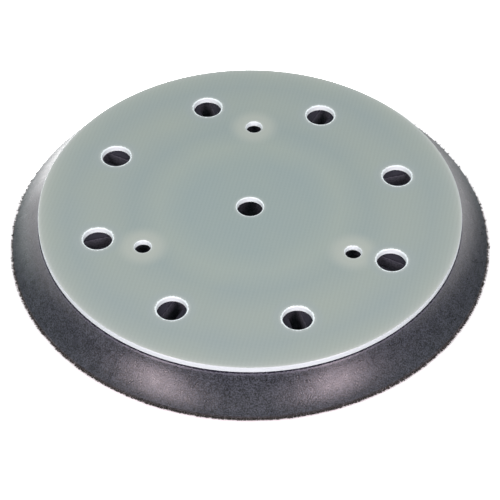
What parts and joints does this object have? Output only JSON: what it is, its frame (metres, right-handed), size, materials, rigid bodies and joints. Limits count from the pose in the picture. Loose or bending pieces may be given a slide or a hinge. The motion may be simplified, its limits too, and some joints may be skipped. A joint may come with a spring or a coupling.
{
  "type": "sander backing pad",
  "caption": "Round hook-faced backing pad for a random orbital sander, with a glass fibre plate, a moulded foam body, dust holes and screw holes.",
  "frame": {"origin": "centre of the sanding face, at the tips of the hooks", "axes": "+Z along the pad's axis, from the sanding face to the machine; +X through one of the dust holes"},
  "size_m": [0.125, 0.125, 0.0108],
  "materials": {
    "laminate": "satin glass fibre and epoxy laminate, slightly translucent, white where it is cut",
    "adhesive": "dark cured adhesive",
    "foam": "satin moulded skin on polyurethane foam",
    "hook_cloth": "knitted nylon ground cloth",
    "hooks": "nylon hooks"
  },
  "bodies": {
    "root": {"backing_plate": "laminate", "plate_bond": "adhesive", "foam_body": "foam", "grip_bond": "adhesive", "grip_cloth": "hook_cloth", "hook_pile": "hooks"}
  },
  "joints": []
}
